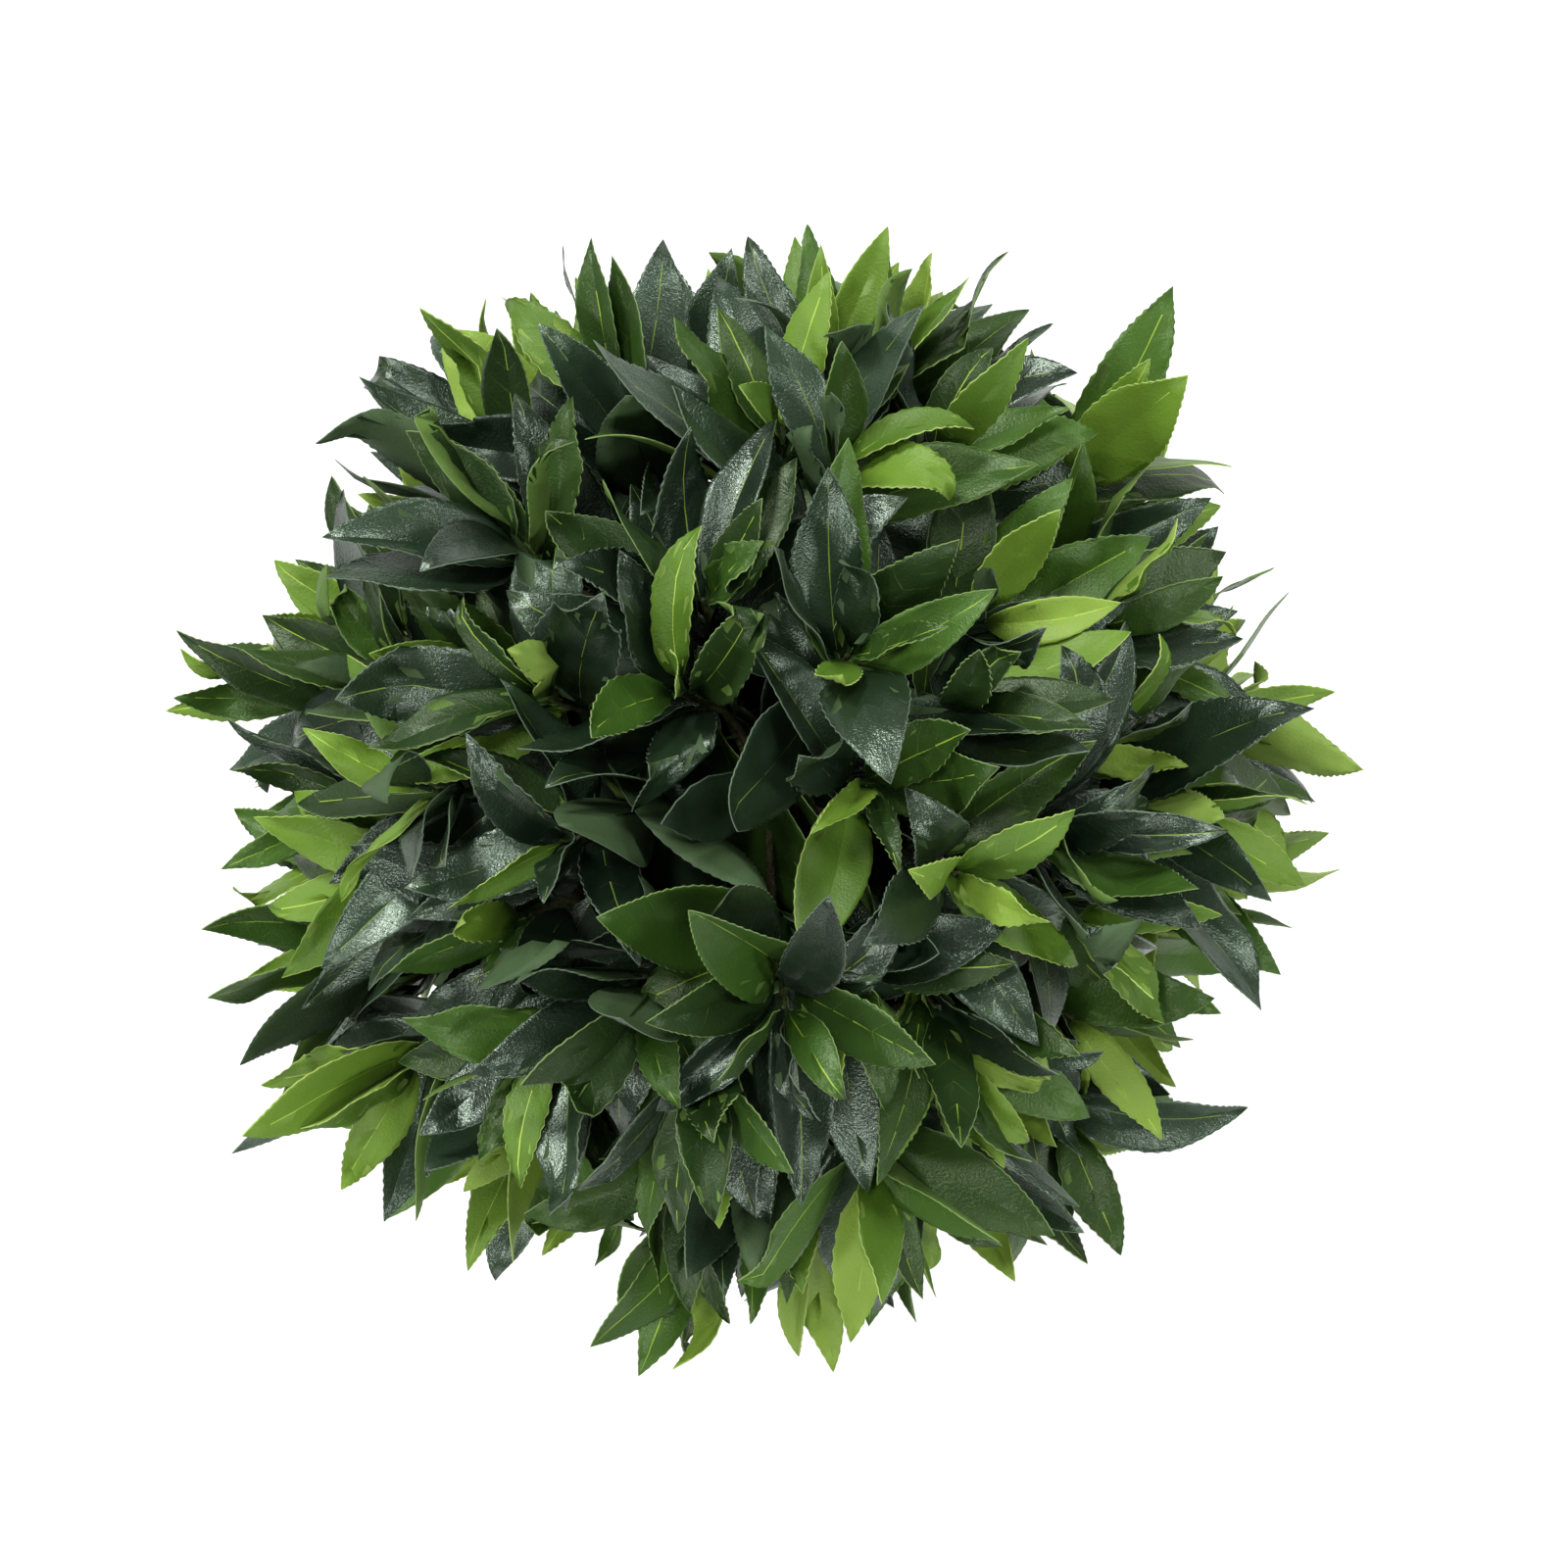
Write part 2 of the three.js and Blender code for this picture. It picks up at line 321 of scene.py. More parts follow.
STEM_SIDES = 60
STEM_STEP = 3 * MM
FEWEST_CORNERS = 8
KNOTS = 26
KNOT_HEIGHT = 1.3 * MM
KNOT_WIDTH = 4.2 * MM
KNOTS_FROM_FOOT, KNOTS_BELOW_TOP = 0.05, 0.12
FURROW_DEPTH = 0.8 * MM


def stem_rings():
    """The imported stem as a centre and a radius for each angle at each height."""
    points = node_points("trunk")
    heights, place = np.unique(points[:, 2].round(4), return_inverse=True)
    angles = np.linspace(-math.pi, math.pi, STEM_SIDES, endpoint=False)
    centres, radii, kept = [], [], []
    for number, height in enumerate(heights):
        ring = points[place == number]
        if len(ring) < FEWEST_CORNERS:
            continue
        centre = ring[:, :2].mean(axis=0)
        offset = ring[:, :2] - centre
        turned = np.arctan2(offset[:, 1], offset[:, 0])
        order = np.argsort(turned)
        radii.append(np.interp(angles, turned[order], np.hypot(*offset.T)[order], period=2 * math.pi))
        centres.append(centre)
        kept.append(height)
    return np.array(kept), np.array(centres), np.array(radii), angles


def build_stem():
    """The stem with its bark: long furrows, fine roughness and knots of cut twigs. Its foot stays flat."""
    heights, centres, radii, angles = stem_rings()
    knots = [(random.uniform(KNOTS_FROM_FOOT, heights[-1] - KNOTS_BELOW_TOP),
              random.uniform(-math.pi, math.pi), random.uniform(0.5, 1)) for _ in range(KNOTS)]
    levels = np.linspace(heights[0], heights[-1], int((heights[-1] - heights[0]) / STEM_STEP))
    rings = []
    for level in levels:
        centre = np.array([np.interp(level, heights, centres[:, axis]) for axis in (0, 1)])
        radius = np.array([np.interp(level, heights, radii[:, side]) for side in range(STEM_SIDES)])
        for side, angle in enumerate(angles):
            around = Vector((math.cos(angle), math.sin(angle), 0)) * 2.2
            furrow = noise.noise(around * 2.4 + Vector((0, 0, level * 22)))
            grain = noise.noise(around * 7 + Vector((3, 0, level * 95)))
            radius[side] += (-abs(furrow) * 2 + 0.5 + grain * 0.45) * FURROW_DEPTH
            for height, turn, size in knots:
                apart = math.remainder(angle - turn, 2 * math.pi) * radius[side]
                reach = ((level - height) ** 2 + apart ** 2) / (KNOT_WIDTH * size) ** 2
                radius[side] += KNOT_HEIGHT * size * math.exp(-reach)
        ring = np.stack([centre[0] + radius * np.cos(angles), centre[1] + radius * np.sin(angles),
                         np.full(STEM_SIDES, level)], axis=1)
        rings.append(ring)
    points, triangles = ring_mesh(np.array(rings))
    stem = new_piece("stem", points, triangles, [TRUNK_BARK])
    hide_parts("trunk")


BOUGH_STEPS = 18
BOUGH_SIDES = 10
BOUGH_BURIED = 7 * MM
BOUGH_UNEVENNESS = 0.06
BUD_SWELL = 0.16
BUD_WAVES = 5.5


def bough_line(name):
    """The middle of a packed bough and its radius at each step, by a smooth curve through its corners."""
    points = node_points(name)
    foot = points[np.argmin(np.hypot(points[:, 0], points[:, 1]))]
    tip = points[np.argmax(np.linalg.norm(points - CROWN_CENTRE, axis=1))]
    chord = tip - foot
    along = (points - foot).dot(chord) / chord.dot(chord)
    fit = [np.polyfit(along, points[:, axis], 3) for axis in range(3)]
    off = np.linalg.norm(points - np.stack([np.polyval(line, along) for line in fit], axis=1), axis=1)
    start = along.min() - BOUGH_BURIED / np.linalg.norm(chord)
    steps = np.linspace(start, along.max(), BOUGH_STEPS)
    path = np.stack([np.polyval(line, steps) for line in fit], axis=1)
    return path, np.polyval(np.polyfit(along, off, 1), steps)


def build_boughs():
    """All boughs in one piece, each swollen a little at its buds. Returns the line of each."""
    lines, parts = {}, []
    for name in BOUGHS:
        path, radii = bough_line(name)
        swell = 1 + BUD_SWELL * np.maximum(0, np.sin(np.linspace(0, BUD_WAVES * math.pi, BOUGH_STEPS))) ** 4
        parts.append(tube(path, radii * swell, BOUGH_SIDES, BOUGH_UNEVENNESS))
        lines[name] = path
    piece = new_piece("boughs", *joined(parts), [BOUGH_BARK])
    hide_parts(*BOUGHS)
    return lines


# ---------------------------------------------------------------- sprays

SPRAYS = 122
THROAT = math.radians(26)
WAY_SCATTER = 0.055
SPRAY_FOOT = 0.56
SPRAY_TIP = 0.7
SPRAY_LEAN = 0.24
SPRAY_DROOP = 0.3
TOP_DROOP = 0.6
SPRAY_REACHES = 0.5, 1.56
SPRAY_SIZES = 0.92, 1.08
LEAF_DROOP = 0.26
LEAF_FACE_UP = 0.55
MOOD_SPREAD = 0.8
SIDE_MOOD = 0.95
TOP_MOOD = 2.0
TWIG_STEPS = 9
STEM_STEPS = 10
TWIG_LEAVES, TWIG_ARRIVES = 12 * MM, 14 * MM
STEM_LEAVES, STEM_ARRIVES = 0.35, 0.3
TWIG_SIDES = 7
NODE_EVERY, NODE_SWELL = 3, 0.22
TWIG_RADIUS = 1.9 * MM
SPRAY_TIP_RADIUS = 0.8 * MM
WAY_STEP = 2 * MM


def spray_ways():
    """Directions spread evenly over the ball, apart from the throat round the stem, each a little off."""
    ways = []
    for number in range(SPRAYS):
        rise = 1 - (number + 0.5) * (1 + math.cos(THROAT)) / SPRAYS
        turn = number * GOLDEN_ANGLE
        level = math.sqrt(1 - rise * rise)
        way = np.array([level * math.cos(turn), level * math.sin(turn), rise])
        ways.append(unit(way + random.normal(0, WAY_SCATTER, 3)))
    return ways


def away_from_top(way):
    """How far and which way a shoot at this place of the ball hangs over, away from the crown's top."""
    return way * way.dot(UP) - UP


class Spray:
    """One spray: the path of its twig and stem, from the end of a bough to its own tip, and its mood. The
    higher the mood, the more light leaves it has and the brighter its tints."""

    def __init__(self, way, bough_path):
        start = bough_path[-1]
        out = unit(bough_path[-1] - bough_path[-3])
        foot = CROWN_CENTRE + way * CROWN_RADIUS * SPRAY_FOOT
        self.hang = away_from_top(way)
        droop = SPRAY_DROOP + TOP_DROOP * max(way[2], 0)
        lean = unit(way + droop * self.hang + random.normal(0, SPRAY_LEAN, 3))
        reach = CROWN_RADIUS * (SPRAY_TIP - SPRAY_FOOT) * random.uniform(*SPRAY_REACHES)
        tip = foot + unit(lean + way) * reach
        twig = bezier(start, start + out * TWIG_LEAVES, foot - lean * TWIG_ARRIVES, foot, TWIG_STEPS)
        stem = bezier(foot, foot + lean * reach * STEM_LEAVES,
                      tip - way * reach * STEM_ARRIVES, tip, STEM_STEPS)
        self.path = np.concatenate([twig, stem[1:]])
        steps = np.linalg.norm(np.diff(self.path, axis=0), axis=1)
        self.back = steps.sum() - np.concatenate([[0], np.cumsum(steps)])
        self.mood = SIDE_MOOD + random.uniform(-MOOD_SPREAD, MOOD_SPREAD) - TOP_MOOD * max(way[2], 0)
        self.size = random.uniform(*SPRAY_SIZES)
        self.turn = random.uniform(0, 2 * math.pi)

    def place(self, back):
        """The point at a distance back from the tip, and the way the stem runs there."""
        at = [np.interp(-back, -self.back, self.path[:, axis]) for axis in range(3)]
        before = [np.interp(-back - WAY_STEP, -self.back, self.path[:, axis]) for axis in range(3)]
        ahead = [np.interp(-back + WAY_STEP, -self.back, self.path[:, axis]) for axis in range(3)]
        return np.array(at), unit(np.array(ahead) - before)

    def wood(self):
        """The twig and stem as a tube, a little swollen at its nodes."""
        share = np.linspace(0, 1, len(self.path))
        radii = TWIG_RADIUS + (SPRAY_TIP_RADIUS - TWIG_RADIUS) * share
        radii = radii * (1 + NODE_SWELL * (np.arange(len(self.path)) % NODE_EVERY == 0))
        return tube(self.path, radii, TWIG_SIDES)


# ---------------------------------------------------------------- one leaf

SWEEP = 0.15
INNER, OUTER = 0.45, 0.86
CLOTH = 0.34 * MM
RIM = 0.27 * MM
SCALLOP = 0.8 * MM
SCALLOP_STEPS = 2
MIDRIB = 0.2 * MM
VEIN = 0.13 * MM
MIDRIB_WIDTHS = (0.35, 1.4), (0.5, 1.5)
NOTCHES, TEETH = (0.3, 0.9), (0.0, 0.4)
# From the stalk's end to where the rib stops: the place along the leaf, the half width and the depth in mm.
RIB_STATIONS = [(-1, 0.9, 1.3), (0, 0.9, 1.2), (0.16, 0.8, 1.0), (0.32, 0.55, 0.7), (0.5, 0.2, 0.2)]
NOMINAL_HALF, NOMINAL_LENGTH = 20 * MM, 0.1


def outline(u):
    """Half of a leaf's width along it, as a share of its greatest half."""
    u = np.clip(u, 0, 1)
    rise, fall = 0.78, 1.02
    widest = rise / (rise + fall)
    return u ** rise * (1 - u) ** fall / (widest ** rise * (1 - widest) ** fall)


class Plan:
    """The flat plan of a leaf: corners as shares of its length and width, and triangles with a role each.

    The top has a row of corners along each side vein, two by two so that the vein lies between them. A
    frayed edge runs down to the wider underside, and a plastic rib under the leaf goes on as its stalk."""

    ROLES = ("top", "vein", "rim", "under", "rib", "midrib")

    def __init__(self, rows, teeth, dice=random):
        self.corners, self.triangles, self.roles = [], [], []
        self.dice = dice
        self.rows, self.teeth = rows, teeth
        self.foot, self.tip = self.corner(0), self.corner(1)
        self.low_foot = self.corner(0, under=1, shift=-1)
        self.low_tip = self.corner(1, under=1, shift=1)
        keel = [None] + [self.corner(row / rows, under=1) for row in range(1, rows)] + [None]
        strips = [self.half(side, keel) for side in (-1, 1)]
        self.midrib(*strips)
        self.rib()
        self.finish()

    def corner(self, u, v=0.0, side=1, rib=0.0, tooth=0.0, rim=0.0, shift=0.0, under=0.0, drop=0.0,
               stalk=0.0):
        self.corners.append((u, v * side, rib * side, tooth * side, rim * side, shift, under, drop, stalk))
        return len(self.corners) - 1

    def face(self, role, *around):
        for second in range(1, len(around) - 1):
            self.triangles.append((around[0], around[second], around[second + 1]))
            self.roles.append(self.ROLES.index(role))

    def half(self, side, keel):
        """One side of the leaf, out from the midrib. Returns the corners along the midrib."""
        rows, teeth = self.rows, self.teeth
        starts = np.linspace(0, 1, rows + 1)
        swept = starts + SWEEP * outline(starts)
        low, high, inner_low, inner_high, outer, half = {}, {}, {}, {}, {}, {}
        for row in range(1, rows):
            u, sweep = starts[row], SWEEP * outline(starts[row])
            low[row] = self.corner(u, side=side, rib=self.dice.uniform(*MIDRIB_WIDTHS[0]), shift=-0.6)
            high[row] = self.corner(u, side=side, rib=self.dice.uniform(*MIDRIB_WIDTHS[1]), shift=0.6)
            inner_low[row] = self.corner(u + sweep * INNER, INNER, side, shift=-0.36)
            inner_high[row] = self.corner(u + sweep * INNER, INNER, side, shift=0.36)
            outer[row] = self.corner(u + sweep * OUTER, OUTER, side)
            half[row] = self.corner(u + sweep * 0.5, 0.5, side, under=1)
        edge, hem = [self.foot], [self.low_foot]
        for step in range(1, rows * teeth):
            u = np.interp(step / teeth, np.arange(rows + 1), swept)
            notch = step % SCALLOP_STEPS == 0
            tooth = -self.dice.uniform(*NOTCHES) if notch else self.dice.uniform(*TEETH)
            edge.append(self.corner(u, 1, side, tooth=tooth))
            hem.append(self.corner(u, 1, side, tooth=tooth, rim=1, under=1))
        edge.append(self.tip)
        hem.append(self.low_tip)
        for row in range(1, rows):
            self.face("vein", low[row], high[row], inner_high[row], inner_low[row])
            self.face("vein", inner_low[row], inner_high[row], outer[row])
        for row in range(rows):
            first, second = row, row + 1
            if first == 0:
                self.face("top", self.foot, low[second], inner_low[second])
                self.face("top", self.foot, inner_low[second], outer[second])
                self.face("under", self.low_foot, keel[second], half[second])
            elif second == rows:
                self.face("top", high[first], self.tip, inner_high[first])
                self.face("top", inner_high[first], self.tip, outer[first])
                self.face("under", keel[first], self.low_tip, half[first])
            else:
                self.face("top", high[first], low[second], inner_low[second], inner_high[first])
                self.face("top", inner_high[first], inner_low[second], outer[second], outer[first])
                self.face("under", keel[first], keel[second], half[second], half[first])
            self.fan("top", outer.get(first), outer.get(second), edge[first * teeth:second * teeth + 1])
            self.fan("under", half.get(first), half.get(second), hem[first * teeth:second * teeth + 1])
        for step in range(rows * teeth):
            self.face("rim", edge[step], edge[step + 1], hem[step + 1], hem[step])
        return low, high

    def fan(self, role, near, far, edge):
        """Fills from two neighbouring corners of a column out to the run of edge between them."""
        if near is None:
            turn = 0
        elif far is None:
            turn = len(edge) - 1
        else:
            turn = len(edge) // 2
        for step in range(len(edge) - 1):
            centre = near if step < turn else far
            if edge[step] != centre and edge[step + 1] != centre:
                self.face(role, centre, edge[step], edge[step + 1])
        if near is not None and far is not None:
            self.face(role, near, edge[turn], far)

    def midrib(self, left, right):
        """The printed midrib: one narrow band between the two sides."""
        before = [self.foot]
        for row in range(1, self.rows):
            for level in (0, 1):
                now = [left[level][row], right[level][row]]
                self.face("midrib", *before, *reversed(now))
                before = now
        self.face("midrib", *before, self.tip)

    def rib(self):
        """The rib is a three-sided rod that thins out towards the middle of the leaf."""
        rings = []
        for u, width, depth in RIB_STATIONS:
            stalk, start = (1, 0) if u < 0 else (0, u)
            wing = dict(rib=width * MM / MIDRIB, under=1.5, stalk=stalk)
            rings.append([self.corner(start, side=-1, **wing),
                          self.corner(start, drop=depth * MM, under=1.5, stalk=stalk),
                          self.corner(start, side=1, **wing)])
        self.rib_from = len(self.triangles)
        for near, far in zip(rings, rings[1:]):
            for side in range(3):
                after = (side + 1) % 3
                self.face("rib", near[side], far[side], far[after], near[after])
        self.face("rib", *rings[0])
        self.face("rib", *reversed(rings[-1]))

    def finish(self):
        """Makes arrays, and turns the triangles of the sheet so that they all face outwards."""
        (self.u, self.v, self.rib_side, self.tooth, self.rim,
         self.shift, self.under, self.drop, self.stalk) = np.array(self.corners).T
        self.triangles, self.roles = np.array(self.triangles), np.array(self.roles)
        across = self.v * outline(self.u) * NOMINAL_HALF + self.rib_side * MIDRIB + self.rim * RIM
        along = self.u * NOMINAL_LENGTH + self.shift * RIM
        flat = np.stack([across, along, -self.under * CLOTH - self.drop], axis=1)
        a, b, c = (flat[self.triangles[:, corner]] for corner in range(3))
        facing = np.cross(b - a, c - a)[:, 2]
        sheet = np.arange(len(facing)) < self.rib_from
        wanted = np.where(self.roles == self.ROLES.index("under"), -1, 1)
        turned = sheet & (facing * wanted < 0)
        self.triangles[turned] = self.triangles[turned][:, ::-1]


def trial_plan():
    """A leaf as a bare sheet of a few corners, to see what a leaf would cut through."""
    stations, columns = (0.14, 0.32, 0.52, 0.72, 0.9), (-1.0, -0.5, 0.0, 0.5, 1.0)
    u, v = np.meshgrid(stations, columns, indexing="ij")
    u, v = np.append(u, 1.0), np.append(v, 0.0)
    across, tip = len(columns), u.size - 1
    triangles = []
    for a in range(tip - 1):
        if a % across == across - 1:
            continue
        if a + across < tip:
            triangles += [(a, a + 1, a + across + 1), (a, a + across + 1, a + across)]
        else:
            triangles.append((a, a + 1, tip))
    none = np.zeros_like(u)
    return SimpleNamespace(u=u, v=v, triangles=triangles, rib_side=none, tooth=none, rim=none,
                           shift=none, under=none, drop=none, stalk=none)


PLANS = {"large": Plan(9, 5), "medium": Plan(7, 5), "small": Plan(6, 4),
         "inner": Plan(4, 3, np.random.default_rng(31))}
FLAT_ROLES = [Plan.ROLES.index(role) for role in ("rim", "rib")]
TRIAL = trial_plan()
TABLE = np.linspace(0, 1, 49)
BEND_EASE, HOOK_FROM = 1.25, 0.7
FOLD_EASE = 0.55
RIPPLE_EASE = 1.6
CREASE_WIDTH = 2.2 * MM


def smooth_step(low, high, value):
    share = np.clip((value - low) / (high - low), 0, 1)
    return share * share * (3 - 2 * share)


def rotated(vectors, axis, angle):
    """Vectors turned about an axis, by an angle each."""
    cos, sin = np.cos(angle)[..., None], np.sin(angle)[..., None]
    axis = np.broadcast_to(axis, vectors.shape)
    along = (vectors * axis).sum(axis=-1, keepdims=True)
    return vectors * cos + np.cross(axis, vectors) * sin + axis * along * (1 - cos)


def leaf_points(plan, leaves):
    """Bends the plan into every leaf of a list at once. Returns an array of leaf, corner and place."""

    def of(name):
        return np.array([leaf[name] for leaf in leaves])[:, None]

    length, width = of("length"), of("width")
    u = plan.u + plan.shift * np.where(np.abs(plan.shift) < 1, VEIN, RIM) / length
    share = np.clip(u, 0, 1)

    heading = of("bend") * TABLE ** BEND_EASE + of("hook") * smooth_step(HOOK_FROM, 1.0, TABLE)
    sickle = of("sickle") * TABLE
    step = np.diff(TABLE, prepend=0)
    line_y = np.cumsum(np.cos(heading) * step, axis=1) * length
    line_z = -np.cumsum(np.sin(heading) * step, axis=1) * length
    line_x = np.cumsum(np.sin(sickle) * step, axis=1) * length
    at = share * (len(TABLE) - 1)
    low = np.minimum(at.astype(int), len(TABLE) - 2)
    part = at - low
    rows = np.arange(len(leaves))[:, None]

    def along(table):
        return table[rows, low] * (1 - part) + table[rows, low + 1] * part

    turn = along(heading)
    forward = np.stack([np.sin(along(sickle)), np.cos(turn), -np.sin(turn)], axis=-1)
    normal = np.stack([np.zeros_like(turn), np.sin(turn), np.cos(turn)], axis=-1)
    sideways = np.array([1.0, 0.0, 0.0])

    side = np.sign(plan.v)
    half = width / 2 * (1 + of("lopsided") * side)
    small = np.minimum(1, outline(u) * 2.5)
    edge = plan.tooth * of("toothed") * SCALLOP * small + plan.rim * RIM
    across = plan.v * outline(u) * half + edge + plan.rib_side * MIDRIB
    reach = np.abs(plan.v)
    fold = of("fold") * (1 - FOLD_EASE * share)
    lift = np.abs(plan.v * outline(u) * half) * np.sin(fold)
    lift = lift + of("cup") * (plan.v * outline(u)) ** 2
    wave = np.sin(2 * math.pi * (of("waves") * u + of("phase")) + side * of("offbeat"))
    lift = lift + of("ripple") * wave * reach ** RIPPLE_EASE * np.sqrt(outline(u))
    across = across * np.cos(fold)
    roll = of("twist") * share
    cos, sin = np.cos(roll), np.sin(roll)
    across, lift = across * cos - lift * sin, across * sin + lift * cos
    lift = lift - plan.under * CLOTH - plan.drop

    line = np.stack([along(line_x), along(line_y), along(line_z)], axis=-1)
    beyond = u * length - share * length - plan.stalk * of("stalk")
    points = line + forward * beyond[..., None] + sideways * across[..., None] + normal * lift[..., None]

    crease = of("crease_at") * length
    slant = of("crease_slant")
    past = u * length * np.cos(slant) + across * np.sin(slant) - crease * np.cos(slant)
    sharp = of("crease") * smooth_step(0, 1, past / CREASE_WIDTH)

    def at_crease(table):
        return np.array([np.interp(place, TABLE, row) for place, row in zip(of("crease_at")[:, 0], table)])

    centre = np.stack([np.zeros(len(leaves)), at_crease(line_y), at_crease(line_z)], axis=-1)[:, None, :]
    tilt = at_crease(heading)[:, None]
    axis = np.stack([np.cos(slant), -np.sin(slant) * np.cos(tilt), np.sin(slant) * np.sin(tilt)], axis=-1)
    points = centre + rotated(points - centre, axis, sharp)

    ways = np.array([leaf["way"] for leaf in leaves])[:, None, :]
    faces = np.array([leaf["face"] for leaf in leaves])[:, None, :]
    rights = np.cross(ways, faces)
    origin = np.array([leaf["origin"] for leaf in leaves])[:, None, :]
    return origin + points[..., :1] * rights + points[..., 1:2] * ways + points[..., 2:] * faces


# ---------------------------------------------------------------- leaves on a spray

# From a spray's tip to its foot: the plan, how many leaves, distances back from the tip and lengths in mm,
# widths as a share of the length, tilts off the stem in degrees, shares of dark, green and light leaves, and
# how many faces a leaf may cut before it is left out.
ZONES = [
    dict(plan="small", leaves=3, back=(0, 5), length=(42, 62), slim=(0.27, 0.38), tilt=(10, 38),
         tints=(0.08, 0.34, 0.58), cuts=12),
    dict(plan="medium", leaves=5, back=(9, 22), length=(58, 80), slim=(0.31, 0.43), tilt=(26, 58),
         tints=(0.4, 0.42, 0.18), cuts=3),
    dict(plan="large", leaves=5, back=(24, 42), length=(78, 98), slim=(0.33, 0.44), tilt=(38, 72),
         tints=(0.7, 0.26, 0.04), cuts=1),
    dict(plan="large", leaves=5, back=(44, 74), length=(76, 94), slim=(0.34, 0.44), tilt=(56, 90),
         tints=(0.88, 0.12, 0.0), cuts=0),
    dict(plan="inner", leaves=5, back=(72, 114), length=(62, 80), slim=(0.38, 0.46), tilt=(58, 96),
         tints=(0.94, 0.06, 0.0), cuts=4),
]


def turned_about(vector, axis, angle):
    return rotated(vector[None], axis, np.array([angle]))[0]


# Angles in degrees: ranges, or a mean and a spread.
SHUT_SHARE, SHUT_FOLD, OPEN_FOLD = 0.1, (42, 66), (13, 15)
BEND, HOOK, TWIST, ROLL = (16, 26), (4, 24), (0, 22), (0, 27)
# Each kind of crease, as the draw below which a leaf has it and its angles. A higher draw gives no crease.
CREASES = [(0.035, (-155, -110)), (0.14, (35, 75)), (0.42, (-42, 36))]
STALKS = 3.5, 6.5
DARK_PULL, LIGHT_PULL, LEAST_SHARE = 0.45, 0.9, 0.05
TINT_PULL, TINT_SPREAD = 0.22, 0.3


def fold_of():
    """How far each half of a leaf is folded up along the midrib: a few leaves are nearly shut."""
    if random.random() < SHUT_SHARE:
        return math.radians(random.uniform(*SHUT_FOLD))
    return math.radians(abs(random.normal(*OPEN_FOLD)))


def crease_of():
    """How a leaf is creased across: now and then right over, sometimes up or down, and mostly not."""
    pick = random.random()
    for limit, angles in CREASES:
        if pick < limit:
            return math.radians(random.uniform(*angles))
    return 0.0


TRIES = 26
TRY_JITTER, TRY_WIDENING = 0.06, 0.1
TURN_SPREAD = 0.4
NEAR = 88 * MM
PLACED_MIDDLES, PLACED_TREES = [], []


def cuts_through(points):
    """How many faces of the leaves already in place a trial leaf would cut through, and its own tree."""
    tree = BVHTree.FromPolygons(points.tolist(), TRIAL.triangles)
    if not PLACED_TREES:
        return 0, tree
    apart = np.linalg.norm(np.array(PLACED_MIDDLES) - points.mean(axis=0), axis=1)
    return sum(len(tree.overlap(PLACED_TREES[near])) for near in np.nonzero(apart < NEAR)[0]), tree


def placed_leaf(spray, zone, turn):
    """Of a few trial leaves at different turns and tilts, the one that cuts the least. There is none if even
    that one cuts too much, or if a trial comes to lie past the foot of the twig."""
    best = None
    for trial in range(TRIES):
        leaf = new_leaf(spray, zone, turn + random.normal(0, TRY_JITTER + TRY_WIDENING * trial))
        if not leaf["rooted"]:
            return None
        points = leaf_points(TRIAL, [leaf])[0]
        cuts, tree = cuts_through(points)
        if best is None or cuts < best[0]:
            best = cuts, leaf, points, tree
        if cuts == 0:
            break
    cuts, leaf, points, tree = best
    if cuts > zone["cuts"]:
        return None
    PLACED_MIDDLES.append(points.mean(axis=0))
    PLACED_TREES.append(tree)
    return leaf


def tint_of(family, mood):
    """Which tint a leaf takes: the higher the mood of its spray, the brighter the tint, give or take."""
    share = 0.5 + TINT_PULL * mood + random.normal(0, TINT_SPREAD)
    return int(np.clip(share, 0, 0.999) * len(TOPS[family]))


def new_leaf(spray, zone, turn):
    """One leaf of a zone, at its turn round the stem. It is not rooted if its twig stops short of it."""
    back = random.uniform(*zone["back"]) * MM
    rooted = back < spray.back[0] + WAY_STEP
    place, stem_way = spray.place(back if rooted else spray.back[0])
    first = unit(np.cross(stem_way, [0.31, 0.55, 0.78]))
    outward = turned_about(first, stem_way, turn)
    tilt = math.radians(random.uniform(*zone["tilt"]))
    way = unit(stem_way * math.cos(tilt) + outward * math.sin(tilt) + spray.hang * LEAF_DROOP)
    face = stem_way + UP * LEAF_FACE_UP
    face = turned_about(unit(face - way * face.dot(way)), way, math.radians(random.normal(*ROLL)))
    stalk = random.uniform(*STALKS) * MM
    pulls = np.array([1.0 - DARK_PULL * spray.mood, 1.0, 1.0 + LIGHT_PULL * spray.mood])
    shares = np.array(zone["tints"]) * pulls.clip(LEAST_SHARE)
    family = random.choice(["dark", "green", "light"], p=shares / shares.sum())
    length = random.uniform(*zone["length"]) * spray.size * MM
    return dict(
        plan=zone["plan"], rooted=rooted, family=family, tint=tint_of(family, spray.mood),
        origin=place + way * stalk, way=way, face=face, stalk=stalk,
        length=length, width=length * random.uniform(*zone["slim"]),
        bend=math.radians(random.normal(*BEND)), hook=math.radians(random.normal(*HOOK)),
        sickle=random.normal(0, 0.2), lopsided=random.normal(0, 0.06),
        fold=fold_of(), cup=random.normal(-0.5, 1.0) * MM,
        ripple=abs(random.normal(0.6, 0.9)) * MM, waves=random.uniform(1.2, 2.6), phase=random.random(),
        offbeat=random.uniform(0.3, 1.4), twist=math.radians(random.normal(*TWIST)),
        toothed=random.uniform(0.35, 1.25),
        veined=random.uniform(*VEINS_SHOWN[family]), lined=random.uniform(*MIDRIBS_SHOWN),
        crease=crease_of(), crease_at=random.uniform(0.42, 0.8), crease_slant=random.normal(0, 0.4),
    )


